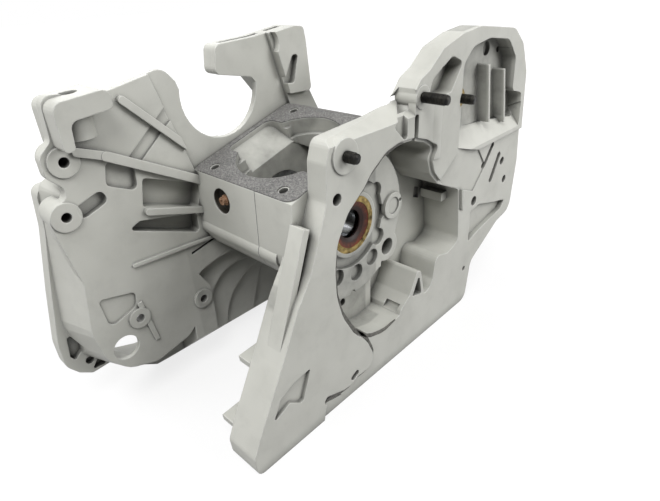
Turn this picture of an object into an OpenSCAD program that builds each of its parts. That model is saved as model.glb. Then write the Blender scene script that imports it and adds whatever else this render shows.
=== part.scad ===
/* [Crank bearings] */
// Diameter of the crank journal that the inner races take
journal_d = 17; // [16:0.5:18]
// Outside diameter of the crank bearings
bearing_d = 40; // [38:0.5:42]
// Width of the crank bearings
bearing_w = 12; // [10:0.5:14]
// Number of balls in a bearing
ball_count = 8; // [6:1:9]
// Diameter of a bearing ball
ball_d = 6.7; // [6:0.1:7]
// Outside diameter of the shaft seals
seal_d = 35; // [33:0.5:37]
// Width of the shaft seals
seal_w = 5; // [4:0.5:6]

/* [Crank chamber] */
// Diameter of the crank chamber
chamber_d = 75; // [70:1:78]
// Width of the crank chamber between its side walls
chamber_w = 41; // [38:1:44]
// Wall round the crank chamber
chamber_wall = 5; // [4:0.5:7]
// How far the parting plane lies from the cylinder axis, towards the sprocket side
parting_x = 14; // [8:1:16]
// Thickness of the gasket between the halves
case_gasket_t = 0.5; // [0.3:0.1:0.8]

/* [Cylinder base] */
// Height of the cylinder base above the crank axis, along the cylinder
deck_h = 43.5; // [42:0.5:48]
// Backward lean of the cylinder
deck_tilt = 16.3; // [12:0.1:20]
// Width of the cylinder base, across the halves
deck_w = 84; // [80:1:90]
// Length of the cylinder base, along the halves
deck_l = 81; // [79:1:86]
// Cylinder axis set forward of the crank axis
bore_offset = 2.5; // [0:0.5:4]
// Diameter of the mouth for the cylinder skirt
mouth_d = 64; // [60:1:66]
// Land between the transfer scoops and the base's side edges
scoop_land = 3.5; // [3:0.25:5]
// Length of the transfer scoops along the halves
scoop_l = 36; // [32:1:38]
// From the base's side edges to the cylinder screws
screw_edge_x = 12.6; // [12:0.2:14]
// From the base's front and rear edges to the cylinder screws
screw_edge_y = 7; // [6.5:0.5:8]
// Tapping hole diameter of the cylinder screws
deck_hole_d = 5; // [4:0.1:6]
// Depth of the holes of the cylinder screws
deck_hole_depth = 12; // [10:1:13]
// Thickness of the cylinder base gasket
deck_gasket_t = 0.6; // [0.4:0.1:1]

/* [Halves] */
// Height of the crank axis above the edges that the case stands on
axis_h = 106.5; // [104:0.5:110]
// How far the fan side wall stands out past the seal
fan_wall_step = 1.5; // [1:0.5:3]
// Thickness of the casting's walls
wall = 5; // [4:0.5:6]
// Open edge of the fan housing, from the cylinder axis
fan_edge_x = 72; // [68:1:76]
// Depth of the sprocket side's rear leg
leg_depth = 22; // [20:1:24]
// Depth of the clutch recess
recess_depth = 16.5; // [14:0.5:18]

/* [Fasteners] */
// Thread diameter of the cover studs
cover_stud_d = 6; // [5:0.5:8]
// Length that the front cover stud stands out
front_stud_l = 16; // [12:1:22]
// Length that the rear cover stud stands out
rear_stud_l = 8; // [5:1:12]
// Diameter of the pivot stud
pivot_stud_d = 6; // [5:0.5:7]
// Length that the pivot stud stands out of its collar
pivot_stud_l = 10; // [6:1:14]
// Thread diameter of the screws that join the halves
case_screw_d = 5; // [4:0.5:6]
// Length of the case screws under the head
case_screw_l = 32; // [26:1:36]

/* [Hidden] */
$fn = 64;

casting = [0.78, 0.78, 0.76];
steel = [0.7, 0.71, 0.73];
brass = [0.75, 0.6, 0.3];
black_oxide = [0.1, 0.1, 0.11];
seal_rubber = [0.36, 0.16, 0.12];
fibre = [0.5, 0.5, 0.5];

// Where the planes lie across the halves, from the cylinder axis
chamber_x = chamber_w / 2;
shoulder_w = 1;
seat_x = chamber_x + bearing_w;
seal_x = seat_x + shoulder_w;
floor_x = seal_x + seal_w;
face_x = floor_x + recess_depth;
leg_x = face_x - leg_depth;
strip_x = face_x - 13;
fan_wall_x = floor_x + fan_wall_step;
fan_back_x = fan_wall_x + wall + 1;
base_z = -axis_h;
half_gap = case_gasket_t / 2;
under_rise = 27;
band_x = face_x - 14;
low_floor_x = floor_x - 9;
deep_x = floor_x - 14.5;

// Cylinder base sizes
scoop_w = deck_w - 2 * scoop_land;
screw_pitch_x = deck_w - 2 * screw_edge_x;
screw_pitch_y = deck_l - 2 * screw_edge_y;
base_play = 0.3;

// Bearing radii
bearing_r = bearing_d / 2;
pitch_r = (journal_d / 2 + bearing_r) / 2;
ball_r = ball_d / 2;
ball_gap = 0.03;
race_step = 0.62 * ball_r;
cage_t = 2;
cage_half_w = ball_r + 1.2;

// Barrel and case screw sizes
barrel_r = chamber_d / 2 + chamber_wall;
screw_r = case_screw_d / 2;
head_r = screw_r * 1.7;
head_h = case_screw_d;
screw_seat_x = parting_x - case_screw_l * 0.75;
sleeve_r = screw_r + 1.5;
sleeve_l = 12;
// Each case screw's angle round the crank axis, and how far outside the barrel it stands
screw_rays = [
    [-174.60828, 2.19776], [-82.77065, 5.17903], [-39.95755, 5.77007], [6.00901, 5.26243], [48.52145, 3.54889]
];
screw_places = [for (s = screw_rays) (barrel_r + s[1]) * [cos(s[0]), sin(s[0])]];
sleeve_places = [screw_places[0], screw_places[3]];

// Places of the studs and of the tank's screws, in the side view
shank_step = 0.4;
front_stud_at = [41, 66.5];
rear_stud_at = [-23.5, 51];
pivot_at = [88, 56.5];
tank_screws = [[-117.4, 55.4], [-124, 29]];
rear_hole_at = [-105.5, 67];

// Where the impulse nipple comes out of the barrel's rear face
nipple_x = -16.6;
nipple_z = 17.6;

// A unit vector
function unit(v) = v / norm(v);

// Points of an arc about c from angle a0 to a1
function arc(c, r, a0, a1, n = 12) =
    [for (i = [0:n]) let (a = a0 + (a1 - a0) * i / n) c + r * [cos(a), sin(a)]];

// The corner b between a and c, rounded to the radius r
function corner(a, b, c, r) =
    let (
        u = unit(a - b),
        v = unit(c - b),
        half = acos(max(-1, min(1, u * v))) / 2,
        reach = min(r / tan(half), 0.45 * norm(a - b), 0.45 * norm(c - b)),
        round_r = reach * tan(half),
        mid = b + unit(u + v) * round_r / sin(half),
        from = b + u * reach - mid,
        turn = 180 - 2 * half,
        way = sign(u[1] * v[0] - u[0] * v[1]),
        start = atan2(from[1], from[0])
    )
    arc(mid, round_r, start, start + way * turn, max(1, ceil(turn / 18)));

// The plain point of an outline's corner, and its radius
function at(p) = [p[0], p[1]];
function radius(p) = is_undef(p[2]) ? 0 : p[2];

// An outline of corners [y, z, radius], with its corners rounded
function rounded(pts) =
    let (n = len(pts))
    [for (i = [0:n - 1])
        let (a = at(pts[(i + n - 1) % n]), b = at(pts[i]), c = at(pts[(i + 1) % n]))
        each (radius(pts[i]) > 0 ? corner(a, b, c, radius(pts[i])) : [b])];

// The same outline, moved inward by d
function inset(pts, d) =
    let (n = len(pts))
    [for (i = [0:n - 1])
        let (
            a = at(pts[(i + n - 1) % n]), b = at(pts[i]), c = at(pts[(i + 1) % n]),
            u = unit(b - a), v = unit(c - b),
            in_a = [-u[1], u[0]], in_b = [-v[1], v[0]],
            q = b + (in_a + in_b) * d / (1 + in_a * in_b)
        )
        [q[0], q[1], max(radius(pts[i]) - d, 0)]];

// An outline in the side view, made solid from x0 to x1
module plate(pts, x0, x1)
    translate([x0, 0, 0]) rotate([90, 0, 90]) linear_extrude(height = x1 - x0)
        polygon(rounded(pts));

// A round bar along the crank's direction, at p in the side view
module bar(p, r, x0, x1)
    translate([x0, p[0], p[1]]) rotate([0, 90, 0]) cylinder(r = r, h = x1 - x0);

// A straight rib with rounded ends, from a to b in the side view
module rib(a, b, w, x0, x1) {
    u = unit(b - a) * w / 2;
    n = [-u[1], u[0]];
    ends = [a - u + n, a - u - n, b + u - n, b + u + n];
    plate([for (e = ends) [e[0], e[1], w / 2]], x0, x1);
}

// A straight web with square ends
module web(a, b, w, x0, x1)
    translate([x0, a[0], a[1]]) rotate([atan2(b[1] - a[1], b[0] - a[0]), 0, 0])
        translate([0, 0, -w / 2]) cube([x1 - x0, norm(b - a), w]);

// A place in the leaning frame of the cylinder base, as a side view point
function on_lean(along, up) =
    [along * cos(deck_tilt) - up * sin(deck_tilt), along * sin(deck_tilt) + up * cos(deck_tilt)];

module deck_frame()
    rotate([deck_tilt, 0, 0]) translate([0, bore_offset, deck_h]) children();

// Outline of the cylinder base, in its own plane
deck_outline = [
    [-deck_w / 2, -deck_l / 2, 6], [deck_w / 2, -deck_l / 2, 6],
    [deck_w / 2, deck_l / 2, 6], [-deck_w / 2, deck_l / 2, 6]
];

// Outline of the two transfer scoops, in the same plane
scoop_outline = [
    for (c = [[-1, -1], [1, -1], [1, 1], [-1, 1]]) [c[0] * scoop_w / 2, 1 + c[1] * scoop_l / 2, 5]
];

deck_rear = on_lean(bore_offset - deck_l / 2, deck_h);
deck_front = on_lean(bore_offset + deck_l / 2, deck_h);
deck_rise = on_lean(0, 0.5);
deck_front_foot = on_lean(bore_offset + deck_l / 2, 4);

// Side view of the barrel's upper box, which carries the cylinder base
barrel_box = [
    [deck_rear[0] - 2.5, -24, 26], [2, -24, 0], [30, 0, 0],
    deck_front_foot, deck_front + deck_rise, deck_rear + deck_rise
];

// Room over the cylinder base, for its gasket and the cylinder's foot
module deck_room() deck_frame()
    translate([-deck_w / 2 - base_play, -deck_l / 2 - base_play, 0])
        cube([deck_w + 2 * base_play, deck_l + 2 * base_play, 60]);

module barrel(x0, x1) {
    bar([0, 0], barrel_r, x0, x1);
    plate(barrel_box, x0, x1);
}

// Bosses of the screws that join the halves
module screw_bosses(r, x0, x1)
    for (p = screw_places) bar(p, r, x0, x1);

// Everything that the crank and the cylinder skirt need cleared
module crank_space() {
    bar([0, 0], chamber_d / 2, -chamber_x, chamber_x);
    bar([0, 0], bearing_r, -seat_x, seat_x);
    bar([0, 0], seal_d / 2 - 2, -seal_x - 1, seal_x + 1);
    bar([0, 0], seal_d / 2, seal_x, floor_x + 30);
    bar([0, 0], seal_d / 2, -fan_back_x - 30, -seal_x);
    deck_frame() {
        // Mouth with its ledge, and the slot that the rod swings in
        translate([0, 0, -3.5]) cylinder(d = mouth_d, h = 4.5);
        intersection() {
            translate([0, 0, -10]) cylinder(d = mouth_d, h = 11);
            translate([-chamber_x - 2, -50, -11]) cube([chamber_w + 4, 100, 13]);
        }
        intersection() {
            translate([0, 0, -deck_h]) cylinder(d = mouth_d - 4, h = deck_h + 1);
            translate([0.4 - chamber_x, -50, -deck_h - 1]) cube([chamber_w - 0.8, 100, deck_h + 3]);
        }
        // Transfer scoops, sloping down to the chamber's sides
        intersection() {
            translate([0, 0, -30]) linear_extrude(height = 31) polygon(rounded(scoop_outline));
            rotate([90, 0, 0]) translate([0, 0, -40]) linear_extrude(height = 80)
                polygon([
                    [-scoop_w / 2 - 1, 1], [-scoop_w / 2 - 1, -2.5], [1 - chamber_x, -12.4],
                    [chamber_x - 1, -12.4], [scoop_w / 2 + 1, -2.5], [scoop_w / 2 + 1, 1]
                ]);
        }
        for (sx = [-1, 1], sy = [-1, 1])
            translate([sx * screw_pitch_x / 2, sy * screw_pitch_y / 2, -deck_hole_depth])
                cylinder(d = deck_hole_d, h = deck_hole_depth + 1);
    }
}

// Side view of the round cut-out over the fan, and of the wall that it is cut from
fan_cut = [-22, 71];
fan_cut_r = 26.7;
fan_wall_outline = [
    [-126, -10], [72, -10], [74, 12, 8], [55, 46, 4], [46, 63, 4], [43.5, 92, 3],
    [42, 99.5, 3], [35, 100.5, 3], [7, 97, 3], [-20.7, 95.7, 4], [-23.8, 79.6, 4],
    for (p = arc(fan_cut, fan_cut_r, 14, -191.5, 20)) p,
    [-49.5, 81, 0], [-56, 89, 8], [-88, 83, 10], [-119, 86.5, 5], [-120, 66, 4],
    [-127, 60, 5], [-127, 50, 5], [-120.5, 43, 4], [-121, 38, 4], [-132, 32, 6], [-131, 20, 6]
];

// Side view of the fan housing's open edge
fan_edge_outline = [
    [84, base_z, 8], [92, -50, 20], [84, 5, 20], [64, 33, 10], [-60, 41, 10],
    [-127, 39, 5], [-129.3, 17], [-137.4, -20.5], [-143.5, -52.6, 12], [-143.5, -68, 8],
    [-138, -76, 5], [-131, -81, 3], [-117, -80, 3],
    [-106, base_z + 14.5, 4], [-92, base_z + 5.5, 4], [-80, base_z, 4]
];

// Side view of the bulge that the housing makes on the inner side
bulge_outline = [
    [-116.4, -74, 14], [-99, -80, 8], [-75, -74.6, 10], [-63, -64, 6], [-59, -50, 8],
    [-61.5, -38, 8], [-60, -24, 6], [-42, -13, 4], [-20, 20], [-20, 36], [-119, 36],
    [-121, 9, 12], [-127.4, -18.6, 20], [-130.4, -40.5, 14], [-127, -61, 14]
];

// Stepped arch under the barrel, each step deeper than the one before it
module arch_steps() {
    intersection() {
        bar([-36.8, -84.1], 54.4, -fan_wall_x - 6, -fan_wall_x + 1);
        plate([[-62, -31], [-53, -47], [-54, -115], [60, -115], [60, -20], [-62, -20]],
              -fan_wall_x - 7, -fan_wall_x + 2);
    }
    bar([-26.4, -68.7], 25.5, -fan_wall_x - 11, -fan_wall_x);
    plate([[-51.6, -67], [-27, -43.8], [60, -43.8], [60, -115], [-51.6, -115]], -fan_wall_x - 11, -fan_wall_x);
    bar([1, -93.8], 39.9, -fan_wall_x - 16, -fan_wall_x - 4);
    plate([[-10.4, -90.2], [-0.9, -65.6], [1, -62], [60, -62], [60, -115], [-14, -115]],
          -fan_wall_x - 21, -fan_wall_x - 8);
}

module bulge_skin(shrink, x0, x1, spread)
    hull() {
        plate(inset(bulge_outline, shrink), x1 - 1, x1);
        plate(inset(bulge_outline, shrink - spread), x0, x0 + 1);
    }

// Deep pockets of the inner face, between its ribs
face_pockets = [
    [[-84.7, 20.4, 2], [-51.6, 7.9, 2], [-47.2, 22.5, 2], [-81.3, 36.3, 2]],
    [[-96.1, 10.3, 1.5], [-53.4, -7.6, 2], [-52.9, 5, 2], [-73.5, 10.1, 2], [-88.3, 13.3, 2]]
];

// Raised boss at the rear top, round its upright hole
module rear_boss() {
    plate([[-119, 62, 2], [-119, 84, 5], [-92, 86.5, 5], [-92, 77, 3], [-113, 75, 4], [-114, 62, 2]],
          -fan_wall_x - 14, -fan_wall_x + 12);
    translate([-fan_wall_x - 2, rear_hole_at[0], rear_hole_at[1] - 3]) cylinder(r = 7.6, h = 18);
}

// Handle mount at the front top: a rail, a front wall and the pocket between
module handle_mount() {
    top = 96;
    difference() {
        union() {
            plate([[-23, 80, 4], [2, 75, 4], [12, 62, 6], [46, 60, 3], [43.5, 92, 3],
                   [42, 99.5, 3], [35, 100.5, 3], [7, 97, 3], [-20.7, 95.7, 4]],
                  -fan_back_x - 8, -fan_wall_x + 4);
        }
        translate([-fan_back_x - 4, -15, 80]) cube([8, 29, 40]);
        translate([-fan_back_x - 4, 20, 86]) cube([8, 12, 40]);
        bar([16, 79], 3, -fan_wall_x - 12, -fan_wall_x + 5);
        plate([[22, 68, 2], [31, 84, 2], [36, 84, 2], [31, 67, 2]], -fan_wall_x, -fan_wall_x + 5);
        translate([-fan_wall_x - 3, 12, 92]) rotate([0, 90, 0]) cylinder(r = 9, h = 10);
    }
}

// The underside rises from the fan housing's edge to the inner side
module underside_cut()
    translate([0, 200, 0]) rotate([90, 0, 0]) linear_extrude(height = 400)
        polygon([
            [-fan_edge_x + 3, base_z], [-fan_wall_x + 2, base_z + under_rise],
            [-fan_wall_x + 12, base_z + under_rise], [-fan_wall_x + 12, base_z - 20], [-fan_edge_x + 3, base_z - 20]
        ]);

module fan_side_half() color(casting) {
    difference() {
        union() {
            barrel(-fan_back_x, parting_x - half_gap);
            screw_bosses(head_r + 2.4, -fan_back_x - 6, parting_x - half_gap);
            plate(fan_wall_outline, -fan_back_x, -fan_wall_x);
            plate(fan_edge_outline, -fan_edge_x, -fan_edge_x + 9);
            bulge_skin(0, -fan_edge_x + 8, -fan_wall_x, 7);
            plate([[-70, -30], [-70, base_z, 3], [84, base_z, 8], [90, -50, 20],
                   [82, 5, 18], [62, 33, 8], [-20, 36]], -fan_edge_x + 2, -fan_wall_x);
            for (p = tank_screws) bar(p, 7.6, -fan_wall_x - 14, -fan_wall_x + 1.2);
            rear_boss();
            handle_mount();
            rib([-98, 53.5], [-45, 23.7], 5, -fan_wall_x - 1, -fan_wall_x + 3.5);
            rib([-111, 59], [-97, 53.2], 4.4, -fan_wall_x - 1, -fan_wall_x + 3.2);
            rib([-83, 78], [-51.5, 46], 4, -fan_wall_x - 1, -fan_wall_x + 3);
            rib([-83, 17.5], [-45, 5.4], 4, -fan_wall_x - 1, -fan_wall_x + 3);
            rib([-98, -10.5], [-44, -13.5], 2.4, -fan_wall_x - 1, -fan_wall_x + 1.5);
            web([-101, -34], [-96, -64], 3, -fan_wall_x - 1, -fan_wall_x + 1.2);
            for (p = [[-103, -43.9], [-60.5, -52.7]]) bar(p, 6.5, -fan_wall_x - 8, -fan_wall_x + 1.5);
        }
        crank_space();
        deck_room();
        underside_cut();
        // Flywheel side: the fan housing, the space behind the bulge and the corner by the front
        plate(inset(fan_edge_outline, wall), -fan_edge_x - 1, -fan_edge_x + 5);
        difference() {
            bar([0, 0], 60, -fan_edge_x - 1, -fan_wall_x - 18);
            translate([-fan_wall_x - 24, -70, -70]) cube([20, 140, 40]);
        }
        bar([0, 0], 38, -fan_edge_x - 1, -fan_back_x - 1);
        bulge_skin(wall, -fan_edge_x - 2, -fan_wall_x - wall, 6);
        plate([[52, -96, 4], [76, -96, 6], [82, -50, 12], [76, 0, 12], [58, 26, 6], [52, 24, 4]],
              -fan_edge_x - 1, -fan_back_x);
        // Bores for the tank screws
        for (p = tank_screws) bar(p, 2.6, -fan_wall_x - 11, -fan_wall_x + 6);
        for (p = [[-103, -43.9], [-60.5, -52.7]]) bar(p, 2.6, -fan_wall_x - 6.5, -fan_wall_x + 6);
        translate([-fan_wall_x - 2, rear_hole_at[0], rear_hole_at[1]]) cylinder(r = 4.2, h = 40);
        // Round hole through the lower rear corner, in a thinned wall
        bar([-114.8, -59], 7.8, -fan_edge_x - 1, -fan_wall_x + 1);
        bar([-114.8, -59], 10.5, -fan_edge_x - 1, -fan_wall_x - 2.5);
        // Pocket and screw hole of the rear foot
        plate([[-139.6, -63.1, 1], [-137.4, -66.6, 1], [-132.5, -62.1, 1], [-132.2, -56.9, 2],
               [-136, -49.3, 1], [-138.1, -50.2, 1]], -fan_edge_x + 5, -fan_edge_x + 16);
        plate([[-130.6, -78.8, 1], [-121.4, -79.1, 1], [-125.2, -72.1, 1]], -fan_edge_x + 5, -fan_edge_x + 16);
        bar([-130.2, -71.3], 2.6, -fan_edge_x - 1, -fan_edge_x + 18);
        // Pockets of the inner face
        for (f = face_pockets) plate(f, -fan_wall_x - wall - 4, -fan_wall_x + 1);
        plate([[-101, 38, 3], [-85, 30, 3], [-84, 44, 3], [-98, 51, 3]],
              -fan_wall_x - 3.5, -fan_wall_x + 1);
        rib([-114.6, 29.4], [-106.2, 32.4], 7.5, -fan_wall_x - 4, -fan_wall_x + 1);
        rib([-49, 74], [-84, 46], 7, -fan_wall_x - 1.5, -fan_wall_x + 1);
        rib([-60.9, -19.2], [-42.5, -15.2], 1.5, -fan_wall_x - 4, -fan_wall_x + 2);
        plate([[-122, -22, 2], [-120, -42, 4], [-103, -36, 4], [-101, -27, 3]],
              -fan_wall_x - 1.5, -fan_wall_x + 1);
        arch_steps();
        for (p = screw_places) {
            bar(p, screw_r + 0.25, -fan_edge_x - 1, parting_x + 1);
            bar(p, head_r + 0.6, -fan_edge_x - 1, screw_seat_x);
        }
        for (p = sleeve_places) bar(p, sleeve_r, parting_x - sleeve_l / 2, parting_x + 1);
        // Impulse nipple's counterbore and passage
        translate([nipple_x, deck_rear[0] - 3.5, nipple_z]) rotate([-90, 0, 0]) {
            cylinder(r = 7.5, h = 7.2);
            cylinder(r = 2, h = 30);
        }
    }
    // Backs of the deep pockets
    difference() {
        for (f = face_pockets) plate(inset(f, -3), -fan_wall_x - 11, -fan_wall_x - 0.6);
        for (f = face_pockets) plate(f, -fan_wall_x - 8, -fan_wall_x + 1);
    }
}

// Side view of the sprocket side's outer face
sprocket_outline = [
    [-100, base_z, 5], [116, base_z, 8], [120.6, -74, 8], [158, -53.5, 10],
    [178.5, -50, 10], [181, -9, 10], [176, 27, 4], [172, 60, 8], [161, 80, 10], [146, 91, 12],
    [100, 96.5, 16], [80, 94.5, 10], [60, 89, 8], [48, 80, 6], [38.7, 76, 4], [31.6, 68, 4],
    [23, 64.5, 4], [2, 62, 6], [-33, 60, 5], [-36.5, 50, 4], [-37.5, 30.8, 8], [-46.3, 8.8, 10],
    [-51.6, -3.7, 10], [-61.3, -17.7, 12], [-76.3, -46.6, 20], [-95.3, -81.1, 20],
    [-101, -93, 6]
];

// Side view of the clutch recess
recess_outline = [
    [-31.7, -9, 24], [-31.6, -25, 20], [-27.6, -40.5, 20], [-17.8, -58.6, 16],
    [-5, -71, 14], [10, -75.5, 12], [28, -73.5, 6], [40, -70.5, 6], [48, -68.8, 6], [61, -71.5, 6],
    [66.5, -64, 4], [69, -46, 8], [84, -51, 8], [98, -47, 6], [95, -24, 8], [92, -4.5, 5],
    [65, 8, 8], [56, 17, 6], [52, 28, 4], [56.5, 34, 4], [47.6, 39.3, 6], [35, 43.5, 10],
    [21, 44.5, 10], [10, 42.5, 10], [-2, 35, 8], [-8, 28.6, 6], [-21, 19, 10], [-29.5, 5, 12]
];

// Side view of the lump at the recess's lower wall
lump_outline = [
    [26, -78], [29, -70.5, 1], [38.6, -63.6, 2], [46.8, -48, 2], [51, -50, 2], [57, -74, 2], [50, -82]
];

// Side view of the brake chamber at the front top, leaning as the cylinder does
brake_outline = [
    [84, 36, 3], [129, 33, 3], [170, 28, 3], [168, 46, 4], [153, 50, 4], [152, 72, 6],
    [139, 85, 12], [113, 88.5, 12], [93, 86, 10], [83, 77, 6]
];
brake_depth = 10;
collar_x = face_x - brake_depth - 0.5;

// Side view of the outer face's lower part, beyond the leg's raised face
low_face_outline = [
    [-17.5, -60], [-7.8, -73.3, 6], [-2.5, -85, 8], [-5, -94, 5], [-18, -93.5, 4], [-24, -96, 4],
    [-46, -93.5, 3], [-52, -120], [200, -120], [200, 18], [100, 18], [96, -30], [40, -60]
];

module sprocket_shell() {
    difference() {
        plate(sprocket_outline, leg_x, face_x);
        // Hollow from the inner side
        plate(inset(sprocket_outline, wall), leg_x - 1, face_x - wall);
        // The rear strip is narrower at its top
        translate([leg_x - 1, -60, 12]) cube([strip_x - leg_x + 1, 90, 80]);
        // The wall over the brake chamber is narrower too
        plate([[14, 58], [60, 62], [100, 62], [200, 20], [200, 120], [14, 120]], leg_x - 1, band_x);
        // The top edge slopes outward
        translate([strip_x - 2, -45, 65.2]) rotate([0, 27, 0]) cube([22, 80, 12]);
    }
    difference() {
        plate(inset(recess_outline, -wall), floor_x - wall - 4, face_x - 1);
        bar([0, 0], barrel_r - 1, 0, floor_x - wall - 3);
    }
    // Deeper pan below the crank chamber
    intersection() {
        plate(inset(recess_outline, -wall), low_floor_x - wall, face_x - 1);
        translate([0, -60, -90]) cube([60, 160, 54]);
    }
    // Deepest pan, in front of the crank chamber
    intersection() {
        plate(inset(recess_outline, -wall), deep_x - 4, face_x - 1);
        translate([0, 21, -90]) cube([60, 100, 160]);
    }
    plate(inset(brake_outline, -3.5), face_x - brake_depth - 4, face_x - 1);
    plate([[84, 15], [172, 15], [172, 34], [84, 38]], face_x - brake_depth - 2, face_x - 1);
    // Solid metal behind the pad and the column's top
    intersection() {
        plate(inset(sprocket_outline, 1), band_x, face_x - 1);
        union() {
            plate([[106, -70], [190, -70], [190, 18], [106, 24]], band_x - 1, face_x);
            plate([[43, 57], [86, 57], [86, 110], [43, 110]], band_x - 1, face_x);
        }
    }
    // Webs behind the face
    for (w = [[[-48, 20], [-86, -80]], [[98, -22], [110, 34]], [[30, 44], [40, 66]]])
        web(w[0], w[1], wall - 1, band_x, face_x - wall + 1);
    for (s = [[-78, -60], [-95, -92]])
        translate([leg_x - 13, s[0], s[1]]) rotate([4, 0, 0]) cube([face_x - leg_x + 9, 55, 4]);
    bar(rear_stud_at, 9, strip_x, face_x + 1);
    translate([face_x - 10, 58, 27]) cylinder(r = 11, h = 35);
    bar(front_stud_at, 6.5, band_x, face_x + 0.5);
    bar([-30, 30.5], 6, face_x - 14, face_x - 1);
    bar(pivot_at, pivot_stud_d / 2 + 4, face_x - 19, face_x - brake_depth - 1);
}

module sprocket_side_half() color(casting) {
    difference() {
        union() {
            barrel(parting_x + half_gap, floor_x);
            plate(barrel_box, parting_x + half_gap, deck_w / 2 + 0.2);
            screw_bosses(head_r + 2.4, parting_x + half_gap, low_floor_x - 1);
            sprocket_shell();
        }
        crank_space();
        deck_room();
        plate(recess_outline, floor_x, face_x + 2);
        // Lip round the recess
        plate(inset(recess_outline, -2), face_x - 2, face_x + 2);
        // Deep pocket in front of the crank, round the chamber's wall and the bosses
        difference() {
            plate(recess_outline, deep_x, face_x);
            translate([0, -100, -100]) cube([60, 126, 200]);
            bar([0, 0], barrel_r + 2.5, 0, 60);
            bar([32.4, -27.9], 10, 0, 60);
            bar([26, 42], 8, 0, 60);
        }
        plate([[81, -14, 1], [88, -17, 1], [89, -9, 1], [82, -6, 1]], deep_x - 2.5, deep_x + 1);
        difference() {
            intersection() {
                plate(recess_outline, low_floor_x, face_x);
                translate([0, -60, -90]) cube([60, 160, 50]);
            }
            bar([0, 0], barrel_r + 4, 0, 60);
        }
        // Round channel about the seal, with a scalloped rim
        difference() {
            union() {
                bar([0, 0], 27, floor_x - 3, face_x);
                for (p = [[20.5, 14.4], [24, -1], [23.1, -17], [17, -29], [2, -33], [-15, -29], [-28, -12]])
                    bar(p, 5.5, floor_x - 3, face_x);
            }
            bar([0, 0], seal_d / 2 + 2.5, floor_x - 4, face_x + 1);
        }
        bar([32.4, -27.9], 5.7, floor_x - 8, face_x);
        for (p = [[-2, -46.6], [-2.3, -57]]) bar(p, 2.6, floor_x - 12, face_x);
        // Brake chamber, with its sloping shelf
        plate(brake_outline, face_x - brake_depth, face_x + 2);
        translate([0, 170, 0]) rotate([90, 0, 0]) linear_extrude(height = 86)
            polygon([[face_x - brake_depth, 35], [face_x + 1, 20], [face_x + 1, 40]]);
        bar([127.9, 80], 4.5, face_x - brake_depth - 2.5, face_x);
        bar([144, 77.6], 2, face_x - brake_depth - 2.5, face_x);
        // Low places of the outer face
        plate(low_face_outline, face_x - 2, face_x + 2);
        plate([[46, 61.5, 2], [71, 64, 2], [82, 79, 3], [70, 84, 6], [50, 74, 6]], face_x - 10, face_x + 2);
        bar([61, 76.6], 3, face_x - 12.5, face_x);
        plate([[64, 11, 2], [88, 25, 2], [116, 17, 2], [128, 2, 2], [113, -13, 2], [96, -6, 4], [75, 3, 2]],
              face_x - wall + 2, face_x + 2);
        plate([[15, 56, 2], [28, 61, 2], [28, 44, 2]], face_x - wall + 2, face_x + 2);
        rib([36.5, 56], [36.5, 44], 4, face_x - wall + 1.5, face_x + 2);
        plate([[-56.7, -59.7, 1], [-64.6, -79.7, 2], [-73.5, -72.5, 2], [-85.9, -78.1, 1],
               [-79.5, -66, 3], [-70, -61.5, 2]], face_x - 2.2, face_x + 2);
        // Pad at the front, with its holes, groove and pocket
        bar([116, -21.6], 3.6, face_x - 9, face_x);
        for (p = [[154.3, -2.1], [161.7, -18.8]]) bar(p, 3, face_x - 9, face_x);
        rib([126, 2], [136, 15], 4, face_x - 7, face_x + 1);
        rib([139, -12], [148, 4], 5, face_x - 7, face_x + 1);
        plate([[112, -29, 2], [124, -27, 2], [150, -34, 2], [168, -38, 2], [162, -44, 2], [128, -50, 2], [113, -54, 2]],
              face_x - 6, face_x + 2);
        bar([110.4, -76], 2, face_x - 9, face_x);
        // Slot and openings by the leg's foot
        rib([-45, -93], [-34, -97], 5.5, face_x - 9, face_x + 2);
        rib([-22, -91.5], [-19, -90], 4, face_x - wall + 1.5, face_x + 2);
        for (p = screw_places) bar(p, screw_r, parting_x - 1, screw_seat_x + case_screw_l + 0.6);
        for (p = sleeve_places) bar(p, sleeve_r, parting_x - 1, parting_x + sleeve_l / 2);
        for (p = [front_stud_at, rear_stud_at]) bar(p, cover_stud_d / 2 - shank_step, face_x - 12, face_x + 5);
        bar([-30, 30.5], 3.2, face_x - 10, face_x + 1);
        bar(pivot_at, pivot_stud_d / 2 - shank_step, face_x - brake_depth - 6, face_x);
        bar(pivot_at, pivot_stud_d / 2 + 3.4, collar_x, face_x + 1);
    }
    // Lump on the recess's lower wall, with an open pocket
    difference() {
        plate(lump_outline, deep_x - 1, face_x - 2);
        plate([[42, -66, 1], [48, -54, 1], [50, -55, 1], [53, -69, 1]], face_x - 14, face_x);
        rib([27, -71], [31, -70], 4, face_x - 16, face_x - 5);
    }
    // Ledge on the recess's front wall
    translate([deep_x + 3, 86, -14]) cube([17, 9, 6]);
    // Round boss on the recess floor
    difference() {
        bar([36, 0], 8.5, floor_x - 1, floor_x + 2);
        bar([36, 0], 5.5, floor_x + 1, floor_x + 3);
        bar([43, 2], 1.3, floor_x - 0.5, floor_x + 3);
    }
    // Upright ribs of the brake chamber
    web([125.5, 34], [118, 72], 2, face_x - brake_depth - 1, face_x - 1.5);
    web([149, 29], [140, 66], 2, face_x - brake_depth - 1, face_x - 1.5);
}

// A flat ring along the crank's direction
module ring(r_in, r_out, x0, x1) difference() {
    bar([0, 0], r_out, x0, x1);
    bar([0, 0], r_in, x0 - 1, x1 + 1);
}

module crankcase_gasket() color(fibre) difference() {
    union() {
        barrel(parting_x - half_gap, parting_x + half_gap);
        screw_bosses(head_r + 2.4, parting_x - half_gap, parting_x + half_gap);
    }
    crank_space();
    deck_room();
    for (p = screw_places) bar(p, sleeve_r, parting_x - 1, parting_x + 1);
}

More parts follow.
